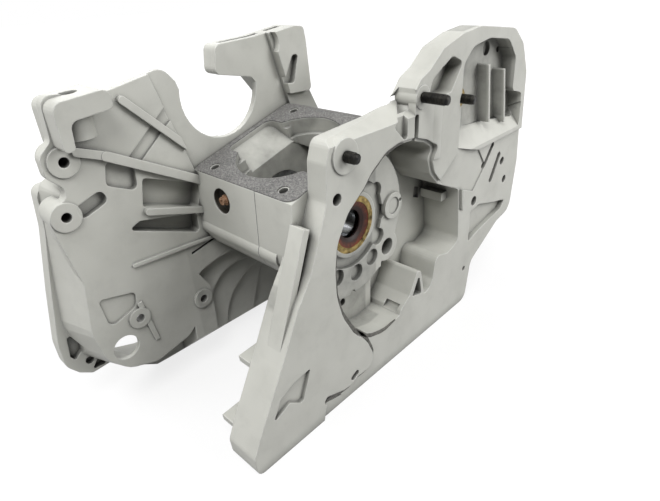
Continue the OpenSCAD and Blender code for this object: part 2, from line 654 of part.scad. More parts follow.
module cylinder_base_gasket() color(fibre)
    deck_frame() difference() {
        linear_extrude(height = deck_gasket_t) polygon(rounded(deck_outline));
        translate([0, 0, -1]) cylinder(d = mouth_d, h = 3);
        translate([0, 0, -1]) linear_extrude(height = 3) polygon(rounded(scoop_outline));
        for (sx = [-1, 1], sy = [-1, 1])
            translate([sx * screw_pitch_x / 2, sy * screw_pitch_y / 2, -1])
                cylinder(d = deck_hole_d + 1.4, h = 3);
    }

module dowel_sleeves() color(steel)
    for (p = sleeve_places) difference() {
        bar(p, sleeve_r, parting_x - sleeve_l / 2, parting_x + sleeve_l / 2);
        bar(p, screw_r + 0.25, parting_x - sleeve_l, parting_x + sleeve_l);
    }

module case_screws() color(steel)
    for (p = screw_places) {
        difference() {
            bar(p, head_r, screw_seat_x - head_h, screw_seat_x);
            translate([screw_seat_x - head_h - 1, p[0], p[1]]) rotate([0, 90, 0])
                cylinder(d = case_screw_d * 0.92, h = head_h * 0.6 + 1, $fn = 6);
        }
        bar(p, screw_r, screw_seat_x - 0.5, screw_seat_x + case_screw_l);
    }

// Bearing pieces, drawn about the origin with the middle of the bearing at x = 0
module groove() rotate([0, 90, 0]) rotate_extrude() translate([pitch_r, 0]) circle(r = ball_r + ball_gap);

module outer_race() color(steel) difference() {
    ring(pitch_r + race_step, bearing_r, -bearing_w / 2, bearing_w / 2);
    groove();
}

module inner_race() color(steel) difference() {
    ring(journal_d / 2, pitch_r - race_step, -bearing_w / 2, bearing_w / 2);
    groove();
}

module balls() color(steel)
    for (i = [0:ball_count - 1]) rotate([i * 360 / ball_count, 0, 0])
        translate([0, 0, pitch_r]) sphere(r = ball_r);

module cage() color(brass) difference() {
    ring(pitch_r - cage_t / 2, pitch_r + cage_t / 2, -cage_half_w, cage_half_w);
    for (i = [0:ball_count - 1]) rotate([i * 360 / ball_count, 0, 0])
        translate([0, 0, pitch_r]) sphere(r = ball_r + 0.15);
}

bearing_mid = chamber_x + bearing_w / 2;
module on_fan_side() translate([-bearing_mid, 0, 0]) children();
module on_sprocket_side() translate([bearing_mid, 0, 0]) children();

module fan_outer_race() on_fan_side() outer_race();
module fan_inner_race() on_fan_side() inner_race();
module fan_balls() on_fan_side() balls();
module fan_cage() on_fan_side() cage();
module sprocket_outer_race() on_sprocket_side() outer_race();
module sprocket_inner_race() on_sprocket_side() inner_race();
module sprocket_balls() on_sprocket_side() balls();
module sprocket_cage() on_sprocket_side() cage();

// Seal pieces, drawn about the origin with the inner side at x = 0 and the outer at seal_w
module seal_case() color(brass) rotate([0, 90, 0]) rotate_extrude()
    polygon([
        [seal_d / 2 - 1, 0], [seal_d / 2, 0], [seal_d / 2, seal_w],
        [seal_d / 2 - 3.5, seal_w], [seal_d / 2 - 3.5, seal_w - 1], [seal_d / 2 - 1, seal_w - 1]
    ]);

lip_r = journal_d / 2 + 0.1;
module seal_lip() color(seal_rubber) rotate([0, 90, 0]) rotate_extrude()
    difference() {
        polygon([
            [seal_d / 2 - 1, 0.8], [seal_d / 2 - 1, seal_w - 1], [seal_d / 2 - 3.5, seal_w - 1],
            [seal_d / 2 - 3.5, seal_w - 0.3], [lip_r + 2, seal_w - 1.2], [lip_r, seal_w - 2.4],
            [lip_r, seal_w - 3], [lip_r + 1.2, 0.5], [lip_r + 3.4, 0.5], [lip_r + 3.4, seal_w - 2.2],
            [seal_d / 2 - 3, seal_w - 2.2], [seal_d / 2 - 3, 0.8]
        ]);
        translate([lip_r + 3.4, 1.4]) circle(r = 0.7, $fn = 32);
    }

module seal_spring() color(steel) rotate([0, 90, 0]) rotate_extrude()
    translate([lip_r + 3.4, 1.4]) circle(r = 0.7, $fn = 32);

module in_fan_seal() mirror([1, 0, 0]) translate([seal_x, 0, 0]) children();
module in_sprocket_seal() translate([seal_x, 0, 0]) children();

module fan_seal_case() in_fan_seal() seal_case();
module fan_seal_lip() in_fan_seal() seal_lip();
module fan_seal_spring() in_fan_seal() seal_spring();
module sprocket_seal_case() in_sprocket_seal() seal_case();
module sprocket_seal_lip() in_sprocket_seal() seal_lip();
module sprocket_seal_spring() in_sprocket_seal() seal_spring();

module impulse_nipple() color(brass)
    translate([nipple_x, deck_rear[0] - 3.5, nipple_z]) rotate([-90, 0, 0])
        difference() {
            union() {
                translate([0, 0, 4.7]) cylinder(r = 3.2, h = 2.5, $fn = 6);
                translate([0, 0, 2.6]) cylinder(r = 2.3, h = 3);
                translate([0, 0, 6.5]) cylinder(r = 2, h = 6);
            }
            translate([0, 0, 1]) cylinder(r = 1, h = 14);
        }

// A stud at p, with a thinner shank in the casting up to step_x
module stud(p, r, x0, step_x, x1) difference() {
    union() {
        bar(p, r - shank_step, x0, step_x + 0.5);
        bar(p, r, step_x, x1);
    }
    difference() {
        bar(p, r + 1, x1 - 0.8, x1 + 1);
        translate([x1 - 0.81, p[0], p[1]]) rotate([0, 90, 0]) cylinder(r1 = r, r2 = r - 0.8, h = 0.82);
    }
}

module front_cover_stud() color(black_oxide)
    stud(front_stud_at, cover_stud_d / 2, face_x - 12, face_x + 0.5, face_x + front_stud_l);
module rear_cover_stud() color(black_oxide)
    stud(rear_stud_at, cover_stud_d / 2, face_x - 12, face_x + 1, face_x + rear_stud_l);
module pivot_stud() color(black_oxide)
    stud(pivot_at, pivot_stud_d / 2, face_x - brake_depth - 6, face_x - 4, face_x + pivot_stud_l - 4);
module pivot_collar() color(brass) difference() {
    bar(pivot_at, pivot_stud_d / 2 + 3, collar_x, face_x - 4);
    bar(pivot_at, pivot_stud_d / 2 - shank_step, face_x - brake_depth - 1, face_x - 3);
}

fan_side_half();
sprocket_side_half();
crankcase_gasket();
cylinder_base_gasket();
dowel_sleeves();
case_screws();
fan_outer_race();
fan_inner_race();
fan_balls();
fan_cage();
sprocket_outer_race();
sprocket_inner_race();
sprocket_balls();
sprocket_cage();
fan_seal_case();
fan_seal_lip();
fan_seal_spring();
sprocket_seal_case();
sprocket_seal_lip();
sprocket_seal_spring();
impulse_nipple();
front_cover_stud();
rear_cover_stud();
pivot_stud();
pivot_collar();
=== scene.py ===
# %% [markdown]
# # Chainsaw crankcase: dressing a CAD casting for a studio picture
#
# The solids come from the imported CAD model: two magnesium castings that are bolted together, the
# crank bearings, the shaft seals, two gaskets, three studs and a brass nipple. Nothing here moves
# or changes them. This script gives every solid the finish of the real thing, with painted shade in
# the casting's corners and bores, cuts the threads and winds the seal springs that CAD leaves
# plain, closes three small openings in the rear foot, lays the hard dirt with its painted shadow
# beside the recess, and sets up the camera and a plain studio.

import math

import bpy
from mathutils import Euler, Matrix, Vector


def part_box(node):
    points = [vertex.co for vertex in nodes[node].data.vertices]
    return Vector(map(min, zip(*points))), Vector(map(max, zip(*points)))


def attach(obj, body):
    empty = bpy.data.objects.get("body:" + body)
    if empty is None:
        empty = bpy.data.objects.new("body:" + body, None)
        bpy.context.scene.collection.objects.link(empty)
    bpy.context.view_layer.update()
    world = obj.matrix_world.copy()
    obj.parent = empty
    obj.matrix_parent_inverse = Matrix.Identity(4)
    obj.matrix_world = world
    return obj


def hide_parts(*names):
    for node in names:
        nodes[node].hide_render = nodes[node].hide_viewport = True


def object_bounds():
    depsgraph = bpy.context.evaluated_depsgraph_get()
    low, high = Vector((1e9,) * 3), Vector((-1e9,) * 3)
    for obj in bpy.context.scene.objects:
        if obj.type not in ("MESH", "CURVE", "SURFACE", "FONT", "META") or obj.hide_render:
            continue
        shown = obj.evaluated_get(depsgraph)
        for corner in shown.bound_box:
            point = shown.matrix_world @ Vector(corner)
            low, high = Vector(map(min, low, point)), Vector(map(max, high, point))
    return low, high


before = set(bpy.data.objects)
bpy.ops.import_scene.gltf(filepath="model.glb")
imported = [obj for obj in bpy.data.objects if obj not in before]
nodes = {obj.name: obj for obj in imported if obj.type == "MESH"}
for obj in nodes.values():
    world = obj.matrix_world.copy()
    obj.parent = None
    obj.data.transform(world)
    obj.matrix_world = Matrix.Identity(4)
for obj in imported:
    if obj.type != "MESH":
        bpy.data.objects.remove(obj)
cad_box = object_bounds()

# %% [markdown]
# ## Camera
#
# The photograph was taken from close by, off the sprocket side, from a little above and behind.
# Parallel edges of the casting run together strongly, which means a wide lens. A camera could be
# set by eye, but here it was fitted to the three directions of those edges, which gives its place
# in the CAD frame, its turn and its lens all at once.

# %% Camera at the photograph's place
MM = 0.001
CAMERA_PLACE = (210.5, -194.5, 128.5)  # millimetres
CAMERA_TURN = (60.8364, 2.6632, 43.1267)  # degrees
LENS, SENSOR, NEAREST = 27.294, 36, 10  # millimetres

camera_data = bpy.data.cameras.new("photo_camera")
camera_data.lens = LENS
camera_data.sensor_width = SENSOR
camera_data.clip_start = NEAREST * MM
camera = bpy.data.objects.new("photo_camera", camera_data)
camera.location = [value * MM for value in CAMERA_PLACE]
camera.rotation_euler = Euler([math.radians(angle) for angle in CAMERA_TURN])
bpy.context.collection.objects.link(camera)
bpy.context.scene.camera = camera
print("camera at", tuple(camera.location))

# %% [markdown]
# ## Colours and nodes
#
# Colours are written as the hex codes that a paint chart or an image editor shows. Those are sRGB
# values, and a shader wants linear light, so one function converts them. A second one adds a node
# of any kind with its settings and links, and returns it. An input is named as Blender shows it.
# It takes a number, a colour, a socket, or simply another node, which then gives its first output
# in use. So a node tree reads as a list of lines, each one saying what goes into it.


# %% Colour and node helpers
def linear(hex_code):
    """An sRGB hex colour in linear light."""
    channels = [int(hex_code[i:i + 2], 16) / 255 for i in (1, 3, 5)]
    light = [c / 12.92 if c <= 0.04045 else ((c + 0.055) / 1.055) ** 2.4 for c in channels]
    return (*light, 1.0)


def add(tree, kind, inputs=None, stops=(), **settings):
    """Adds a node. Inputs go by name or number, and stops are a ramp's places with hex colours."""
    node = tree.nodes.new(kind)
    for name, value in settings.items():
        setattr(node, name, value)
    for i, (place, hex_code) in enumerate(stops):
        stop = node.color_ramp.elements[i] if i < 2 else node.color_ramp.elements.new(place)
        stop.position, stop.color = place, linear(hex_code)
    used = [socket for socket in node.inputs if socket.enabled]
    for key, value in (inputs or {}).items():
        target = used[key] if isinstance(key, int) else next(s for s in used if s.name == key)
        if isinstance(value, bpy.types.Node):
            value = next(socket for socket in value.outputs if socket.enabled)
        if isinstance(value, bpy.types.NodeSocket):
            tree.links.new(value, target)
        else:
            target.default_value = value
    return node


MATH, RANGE, NOISE = "ShaderNodeMath", "ShaderNodeMapRange", "ShaderNodeTexNoise"
RAMP, MIX, BUMP = "ShaderNodeValToRGB", "ShaderNodeMix", "ShaderNodeBump"
print("mid grey in linear light:", [round(channel, 3) for channel in linear("#808080")])

# %% [markdown]
# ## What every material starts with
#
# A material here starts as an empty tree. All patterns read Object coordinates, which are the CAD
# frame in metres and stay with the piece when it moves. A pattern is given by its real size: a
# noise with scale 1000 has blotches of about a millimetre, and its roughness says how strong the
# finer ones inside them are. Places on the object are given in millimetres too, as the distance
# from a line or as a block of space with a soft edge. Such a mask could also be painted on the
# mesh, but the solids are built anew with each change of the CAD, and a place in space outlasts
# that.


# %% Empty material, pattern sizes and places
SOFT_EDGE = 1.5  # millimetres
GRAIN = 0.55  # the usual roughness of a noise


def new_material(name):
    """A material with an empty tree. Returns both."""
    material = bpy.data.materials.new(name)
    material.use_nodes = True
    material.node_tree.nodes.clear()
    return material, material.node_tree


def pattern_space(tree, stretch=1.0):
    """Object coordinates. A stretch below 1 draws the marks out along X, the crank's axis."""
    place = add(tree, "ShaderNodeTexCoord")
    return add(tree, "ShaderNodeMapping",
               {"Vector": place.outputs["Object"], "Scale": (stretch, 1, 1)})


def sized(size_mm):
    """The scale of a texture whose blotches are about size_mm across."""
    return 1 / (size_mm * MM)


def from_line(tree, space, kept, place_mm=(0, 0, 0)):
    """Distance from a line through a place: kept is 0 along the line and 1 across it."""
    flat = add(tree, "ShaderNodeMapping", {"Vector": space, "Scale": kept,
                                           "Location": [-value * MM for value in place_mm]})
    return add(tree, "ShaderNodeVectorMath", {0: flat}, operation="LENGTH")


def within(tree, value, low_mm, high_mm):
    """1 where value lies between the two limits, with a soft edge outside them."""
    rises = add(tree, RANGE,
                {"Value": value, "From Min": (low_mm - SOFT_EDGE) * MM, "From Max": low_mm * MM})
    falls = add(tree, RANGE,
                {"Value": value, "From Min": high_mm * MM, "From Max": (high_mm + SOFT_EDGE) * MM,
                 "To Min": 1.0, "To Max": 0.0})
    return add(tree, MATH, {0: rises, 1: falls}, operation="MULTIPLY")


def block(tree, axes, x_limits, y_limits, z_limits):
    """1 inside a block of space."""
    inside = within(tree, axes["X"], *x_limits)
    for axis, limits in (("Y", y_limits), ("Z", z_limits)):
        inside = add(tree, MATH, {0: inside, 1: within(tree, axes[axis], *limits)},
                     operation="MULTIPLY")
    return inside


print("scale of 1 mm blotches:", sized(1))

# %% [markdown]
# ## Painted magnesium casting
#
# The halves are die cast in magnesium, blasted, and sprayed with one thin coat of warm light grey
# paint. A thin coat follows the blasted skin, so the surface is satin with a fine orange peel.
# Die cast edges are never sharp: a Bevel node rounds them in the shading alone. Where the rounded
# normal departs from the true one there is an edge, and the paint is rubbed a little lighter
# there. So the wear follows the shape by itself, and no picture of it has to be laid on the mesh.


# %% Paint with rubbed edges
def rubbed_paint(tree, space, rounded):
    """The paint's colour, lighter where the rounded normal says edge."""
    clouds = add(tree, NOISE,
                 {"Vector": space, "Scale": sized(38), "Detail": 2.0, "Roughness": GRAIN})
    paint = add(tree, RAMP, {"Fac": clouds}, stops=((0.3, "#B6B6AF"), (0.75, "#C5C5BE")))
    true = add(tree, "ShaderNodeNewGeometry").outputs["Normal"]
    facing = add(tree, "ShaderNodeVectorMath", {0: rounded, 1: true}, operation="DOT_PRODUCT")
    edge = add(tree, RANGE, {"Value": facing, "From Min": 0.995, "From Max": 0.9, "To Max": 0.6})
    return add(tree, MIX, {"Factor": edge, "A": paint, "B": linear("#E0E0DC")}, data_type="RGBA")


# %% [markdown]
# ### Painted shade in corners and bores
#
# Shade is painted into the paint's colour where little light comes in. Ambient Occlusion finds
# such places by how much open space a point sees within a reach. Three reaches do it: seams within
# 2 mm and corners within 11 mm get a little painted shade, the corners unevenly, and bores and
# narrow pockets get dark painted shade.


# %% Shade in seams, corners and bores
SHADES = {  # reach in mm, then openness from and to, then shade from and to
    "seam": (2.2, (0.35, 0.8), (0.6, 1.0)),
    "corner": (11, (0.25, 0.9), (0.5, 1.0)),
    "bore": (14, (0.04, 0.6), (0.12, 1.0)),
}


def painted_corner_shade(tree, patchiness):
    """Painted shade in seams, corners and bores, 1 in the open."""
    shades = {}
    for name, (reach_mm, openness, shade) in SHADES.items():
        seen = add(tree, "ShaderNodeAmbientOcclusion", {"Distance": reach_mm * MM},
                   samples=8).outputs["AO"]
        shades[name] = add(tree, RANGE,
                           {"Value": seen, "From Min": openness[0], "From Max": openness[1],
                            "To Min": shade[0], "To Max": shade[1]})
    # Noise patches make the painted corner shade uneven.
    spots = add(tree, RANGE, {"Value": patchiness, "From Min": 0.5, "From Max": 0.8, "To Max": 0.09})
    corner = add(tree, MATH, {0: shades["corner"], 1: spots}, operation="SUBTRACT")
    both = add(tree, MATH, {0: corner, 1: shades["seam"]}, operation="MULTIPLY")
    return add(tree, MATH, {0: both, 1: shades["bore"]}, operation="MULTIPLY")


print("shades:", sorted(SHADES))

# %% [markdown]
# ### Painted shade, oil and dust
#
# Some places get painted shade, partly as the oil and dust that gather there: the crank chamber,
# its scoops and the underside of the barrel with an oil film, and the brake's bay with clutch
# dust. The counterbore round the nipple gets near black painted shade. Each is marked by its
# place, and the same patches as in the corners make the shade uneven.

# %% Places with painted shade, oil and dust
CHAMBER_RADIUS, CHAMBER_HALF_WIDTH = 42, 24
OILY_SHADED_BLOCKS = {  # limits on X, Y and Z in millimetres
    "transfer scoops": ((-38.9, 38.9), (-34, 20), (18, 60)),
    "brake's bay": ((40, 51.5), (85, 180), (34, 100)),
    "barrel's underside": ((-39, 40), (-64, 20), (-90, -14)),
}
NIPPLE_AXIS = (-16.6, 0, 17.6)
BORE_SHADE_RADIUS, BORE_SHADE_EDGE = 7.6, 0.3
BORE_SHADE_AT_FACE, BORE_SHADE_INSIDE = (-49.4, -48.6), (-38, -42)  # Y with no painted shade, then Y with full painted shade


def oily_painted_shade(tree, space, axes, patchiness):
    """Painted shade, partly an oil and dust film, 1 where none is painted."""
    from_crank = from_line(tree, space, kept=(0, 1, 1))
    round_crank = within(tree, from_crank, 0, CHAMBER_RADIUS)
    beside = within(tree, axes["X"], -CHAMBER_HALF_WIDTH, CHAMBER_HALF_WIDTH)
    darkened = add(tree, MATH, {0: round_crank, 1: beside}, operation="MULTIPLY")
    for limits in OILY_SHADED_BLOCKS.values():
        darkened = add(tree, MATH, {0: darkened, 1: block(tree, axes, *limits)}, operation="MAXIMUM")
    # The painted shade and film are uneven with the noise patches.
    depth = add(tree, RANGE,
                {"Value": patchiness, "From Min": 0.3, "From Max": 0.7, "To Min": 0.16, "To Max": 0.4})
    loss = add(tree, MATH, {0: darkened, 1: depth}, operation="MULTIPLY")
    return add(tree, MATH, {0: 1.0, 1: loss}, operation="SUBTRACT")


def counterbore_shade(tree, space, axes):
    """Painted shade, 1 in the counterbore round the nipple, whose axis runs along Y."""
    off = from_line(tree, space, kept=(1, 0, 1), place_mm=NIPPLE_AXIS)
    bore_shaded = add(tree, RANGE, {"Value": off, "From Min": (BORE_SHADE_RADIUS + BORE_SHADE_EDGE) * MM,
                              "From Max": BORE_SHADE_RADIUS * MM})
    for none, full in (BORE_SHADE_AT_FACE, BORE_SHADE_INSIDE):
        end = add(tree, RANGE, {"Value": axes["Y"], "From Min": none * MM, "From Max": full * MM})
        bore_shaded = add(tree, MATH, {0: bore_shaded, 1: end}, operation="MULTIPLY")
    return bore_shaded


print("soiled places:", sorted(OILY_SHADED_BLOCKS))

# %% [markdown]
# ### The whole casting material
#
# The layers lie over each other: paint, then painted shade, partly as oil and dust, which darkens
# it, then near black painted shade in the counterbore, which covers it. The orange peel, 0.9 mm
# across, moves the normal a little and makes the gloss uneven. That gives the eye a satin skin
# with soft broken highlights.


# %% Put the casting's layers together
def painted_casting():
    material, tree = new_material("grey_paint_on_magnesium")
    space = pattern_space(tree)
    axes = add(tree, "ShaderNodeSeparateXYZ", {"Vector": space}).outputs
    peel = add(tree, NOISE,
               {"Vector": space, "Scale": sized(0.9), "Detail": 2.0, "Roughness": GRAIN})
    patchiness = add(tree, NOISE, {"Vector": space, "Scale": sized(11), "Detail": 4.0, "Roughness": 0.6})
    rounded = add(tree, "ShaderNodeBevel", {"Radius": 0.8 * MM}, samples=6)
    # Painted shade from corners, bores and the oily places darkens the paint's colour.
    shade = add(tree, MATH, {0: painted_corner_shade(tree, patchiness), 1: oily_painted_shade(tree, space, axes, patchiness)},
                operation="MULTIPLY")
    used = add(tree, MIX, {"Factor": 1.0, "A": rubbed_paint(tree, space, rounded), "B": shade},
               data_type="RGBA", blend_type="MULTIPLY")
    # Painted shade in the counterbore: near black over the paint there.
    finished = add(tree, MIX,
                   {"Factor": counterbore_shade(tree, space, axes), "A": used, "B": linear("#2A2721")},
                   data_type="RGBA")
    gloss = add(tree, RANGE, {"Value": peel, "To Min": 0.42, "To Max": 0.58})
    skin = add(tree, BUMP,
               {"Strength": 0.14, "Distance": 0.05 * MM, "Height": peel, "Normal": rounded})
    shader = add(tree, "ShaderNodeBsdfPrincipled",
                 {"Base Color": finished, "Roughness": gloss, "Normal": skin})
    add(tree, "ShaderNodeOutputMaterial", {"Surface": shader})
    return material


casting = painted_casting()
print("made", casting.name, "with", len(casting.node_tree.nodes), "nodes")

# %% [markdown]
# ## Bare metals
#
# Steel, zinc and brass could each have a tree of their own, but they differ only in numbers, so
# they share one recipe: full metallic, the metal's own reflection colour, and fine marks that
# make the roughness uneven. Real grinding and turning marks are far finer than the 0.3 to 0.5 mm
# drawn here, which is as fine as shows in the picture. On the bearings and their cages the marks
# are drawn out along the crank's axis. The tone changes more slowly, in clouds nine marks wide.


# %% Metal recipe
CLOUD_WIDTH = 9


def bare_metal(name, low, high, roughness, mark_mm, stretch=1.0, metallic=1.0, relief=0.05):
    material, tree = new_material(name)
    space = pattern_space(tree, stretch)
    marks = add(tree, NOISE,
                {"Vector": space, "Scale": sized(mark_mm), "Detail": 4.0, "Roughness": GRAIN})
    clouds = add(tree, NOISE, {"Vector": space, "Scale": sized(mark_mm * CLOUD_WIDTH),
                               "Detail": 2.0, "Roughness": GRAIN})
    tone = add(tree, RAMP, {"Fac": clouds}, stops=((0.3, low), (0.7, high)))
    gloss = add(tree, RANGE,
                {"Value": marks, "To Min": roughness - 0.08, "To Max": roughness + 0.1})
    skin = add(tree, BUMP, {"Strength": relief, "Distance": 0.02 * MM, "Height": marks})
    shader = add(tree, "ShaderNodeBsdfPrincipled", {"Base Color": tone, "Metallic": metallic,
                                                    "Roughness": gloss, "Normal": skin})
    add(tree, "ShaderNodeOutputMaterial", {"Surface": shader})
    return material


# Ground and polished: bright, with fairly sharp reflections.
bearing_steel = bare_metal("ground_bearing_steel", "#8E9093", "#B7B9BC", 0.22, 0.35, stretch=0.1)
# Plated: an even, slightly blue, milky shine.
zinc_steel = bare_metal("zinc_plated_steel", "#9EA3A8", "#C6C9CC", 0.36, 0.5)
# Passivated: an uneven skin from straw to dark olive.
yellow_zinc = bare_metal("yellow_passivated_zinc", "#43371F", "#A08C5A", 0.46, 0.35)
# Turned, and bright because it runs in oil.
brass = bare_metal("turned_brass", "#8E6A3A", "#C39B5C", 0.32, 0.3, stretch=0.15)
# Dull with age, so that little of the metal still mirrors.
dull_brass = bare_metal("dull_brass", "#7A5A44", "#C09C80", 0.55, 0.3, metallic=0.35)
# A black skin on steel, with brown-grey where it has worn.
black_oxide = bare_metal("black_oxide_steel", "#1B1B1C", "#34332F", 0.42, 0.4, relief=0.2)
print("made",
      [m.name for m in (bearing_steel, zinc_steel, yellow_zinc, brass, dull_brass, black_oxide)])

# %% [markdown]
# ## Seal rubber
#
# Crank seals for a hot engine are moulded in fluoro rubber, here red-brown: smooth and soft, and
# nearly black towards the shaft. Two pieces could show that, but it is one moulding, so one
# material blends its two colours by the distance from the crank's axis.

# %% Rubber
DARK_INNER_RADIUS, RED_OUTER_RADIUS = 10.5, 14


def seal_rubber():
    material, tree = new_material("red_brown_fluoro_rubber")
    space = pattern_space(tree)
    grain = add(tree, NOISE,
                {"Vector": space, "Scale": sized(0.7), "Detail": 3.0, "Roughness": GRAIN})
    clouds = add(tree, NOISE,
                 {"Vector": space, "Scale": sized(3), "Detail": 3.0, "Roughness": GRAIN})
    dark_inner = add(tree, RAMP, {"Fac": grain}, stops=((0.35, "#120603"), (0.7, "#2C0F07")))
    red_outer = add(tree, RAMP, {"Fac": clouds}, stops=((0.35, "#41180B"), (0.65, "#7E3A1C")))
    outwards = add(tree, RANGE, {"Value": from_line(tree, space, kept=(0, 1, 1)),
                                 "From Min": DARK_INNER_RADIUS * MM, "From Max": RED_OUTER_RADIUS * MM})
    tone = add(tree, MIX, {"Factor": outwards, "A": dark_inner, "B": red_outer}, data_type="RGBA")
    skin = add(tree, BUMP, {"Strength": 0.15, "Distance": 0.05 * MM, "Height": grain})
    shader = add(tree, "ShaderNodeBsdfPrincipled", {"Base Color": tone, "Roughness": 0.5,
                                                    "Specular IOR Level": 0.3, "Normal": skin})
    add(tree, "ShaderNodeOutputMaterial", {"Surface": shader})
    return material


rubber = seal_rubber()
print("made", rubber.name)

# %% [markdown]
# ## Gasket fibre
#
# The gaskets are pressed fibre sheet. Their grey comes from light and dark fibres that lie in the
# sheet, so the colour is the mean of two noises, one for flecks of about 1 mm and one for finer
# ones. A wide third one is where oil has soaked in. The fibres themselves are too many to model,
# and at this distance the eye only sees the speckle and a dull, faintly rough sheet.


# %% Fibre
def gasket_fibre():
    material, tree = new_material("speckled_gasket_fibre")
    space = pattern_space(tree)
    fleck = add(tree, NOISE,
                {"Vector": space, "Scale": sized(1.1), "Detail": 2.0, "Roughness": 0.7})
    thread = add(tree, NOISE,
                 {"Vector": space, "Scale": sized(0.45), "Detail": 3.0, "Roughness": 0.7})
    wide = add(tree, NOISE,
               {"Vector": space, "Scale": sized(14), "Detail": 2.0, "Roughness": GRAIN})
    both = add(tree, MATH, {0: fleck, 1: thread}, operation="ADD")
    mean = add(tree, MATH, {0: both, 1: 0.5}, operation="MULTIPLY")
    speckle = add(tree, RAMP, {"Fac": mean},
                  stops=((0.38, "#4C4C4C"), (0.5, "#6E6D6B"), (0.64, "#969592")))
    soaked = add(tree, RANGE,
                 {"Value": wide, "From Min": 0.35, "From Max": 0.7, "To Min": 0.86, "To Max": 1.05})
    tone = add(tree, MIX, {"Factor": 1.0, "A": speckle, "B": soaked}, data_type="RGBA",
               blend_type="MULTIPLY")
    skin = add(tree, BUMP, {"Strength": 0.5, "Distance": 0.1 * MM, "Height": thread})
    shader = add(tree, "ShaderNodeBsdfPrincipled",
                 {"Base Color": tone, "Roughness": 0.8, "Normal": skin})
    add(tree, "ShaderNodeOutputMaterial", {"Surface": shader})
    return material


fibre = gasket_fibre()
print("made", fibre.name)

# %% [markdown]
# ## Give every CAD solid its finish
#
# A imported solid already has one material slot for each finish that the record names. Its mesh
# stays as it is: only the material in the slot is exchanged. One list of materials and their
# solids shows at a glance that nothing is left out.

# %% Assign the finishes
SIDES = ("fan", "sprocket")
FINISHES = {
    casting: [side + "_side_half" for side in SIDES],
    fibre: ["crankcase_gasket", "cylinder_base_gasket"],
    zinc_steel: ["dowel_sleeves", "case_screws"],
    bearing_steel: [side + piece for side in SIDES
                    for piece in ("_outer_race", "_inner_race", "_balls", "_seal_spring")],
    brass: [side + "_cage" for side in SIDES],
    dull_brass: ["impulse_nipple"],
    yellow_zinc: [side + "_seal_case" for side in SIDES] + ["pivot_collar"],
    rubber: [side + "_seal_lip" for side in SIDES],
    black_oxide: ["front_cover_stud", "rear_cover_stud", "pivot_stud"],
}
for material, names in FINISHES.items():
    for name in names:
        for slot in nodes[name].material_slots:
            slot.material = material
dressed = sum(len(names) for names in FINISHES.values())
print("dressed", dressed, "of", len(nodes), "nodes")

# %% [markdown]
# ## Shapes that follow a rule
#
# The threads and the springs below are built by Geometry Nodes, from inputs that are named for
# their sizes. Each tree ends in real geometry with its material set. It runs on an empty mesh,
# and the result is copied to a plain mesh, so that no modifier is left on the piece.

# %% Start, end and run a tree
INPUT_KINDS = {float: "NodeSocketFloat", int: "NodeSocketInt", tuple: "NodeSocketVector",
               type(None): "NodeSocketMaterial"}


def new_tree(name, inputs):
    """An empty tree with these inputs and their defaults. Returns it and the inputs' sockets."""
    tree = bpy.data.node_groups.new(name, "GeometryNodeTree")
    tree.interface.new_socket("Geometry", in_out="OUTPUT", socket_type="NodeSocketGeometry")
    for label, default in inputs.items():
        socket = tree.interface.new_socket(label, in_out="INPUT",
                                           socket_type=INPUT_KINDS[type(default)])
        if default is not None:
            socket.default_value = default
    return tree, add(tree, "NodeGroupInput").outputs


def end_tree(tree, geometry, finish):
    """Makes the geometry real, sets its material and hands it out."""
    real = add(tree, "GeometryNodeRealizeInstances", {"Geometry": geometry})
    painted = add(tree, "GeometryNodeSetMaterial", {"Geometry": real, "Material": finish})
    add(tree, "NodeGroupOutput", {"Geometry": painted})
    return tree


def built(tree, name, values):
    """Runs a tree on an empty mesh with these inputs. Returns the result as a plain mesh object."""
    holder = bpy.data.objects.new(name + "_holder", bpy.data.meshes.new(name + "_holder"))
    bpy.context.collection.objects.link(holder)
    modifier = holder.modifiers.new("tree", "NODES")
    modifier.node_group = tree
    for item in tree.interface.items_tree:
        if item.in_out == "INPUT" and item.name in values:
            modifier[item.identifier] = values[item.name]
    evaluated = holder.evaluated_get(bpy.context.evaluated_depsgraph_get())
    mesh = bpy.data.meshes.new_from_object(evaluated)
    mesh.name = name
    bpy.data.objects.remove(holder)
    piece = bpy.data.objects.new(name, mesh)
    bpy.context.collection.objects.link(piece)
    mesh.shade_smooth()
    return piece


print("a tree can have inputs of", len(INPUT_KINDS), "kinds")

# %% [markdown]
# ### Rolled threads
#
# A rolled thread is one ridge that winds round the stud. A bump in the material would do from
# afar, but the teeth show in the stud's outline. They follow a rule, a spiral with the thread's
# pitch, so the tree draws that spiral, sweeps a small round ridge along it, and adds the core and
# the bare shank below it. It builds the stud along Z, and lays it along X at the end. Depth,
# ridge and run-out go with the pitch, as they do on a real thread.

# %% A tree that winds a thread round a stud
THREAD_DEPTH, RIDGE_RADIUS, RUN_OUT = 0.4, 0.42, 1.6  # all in pitches


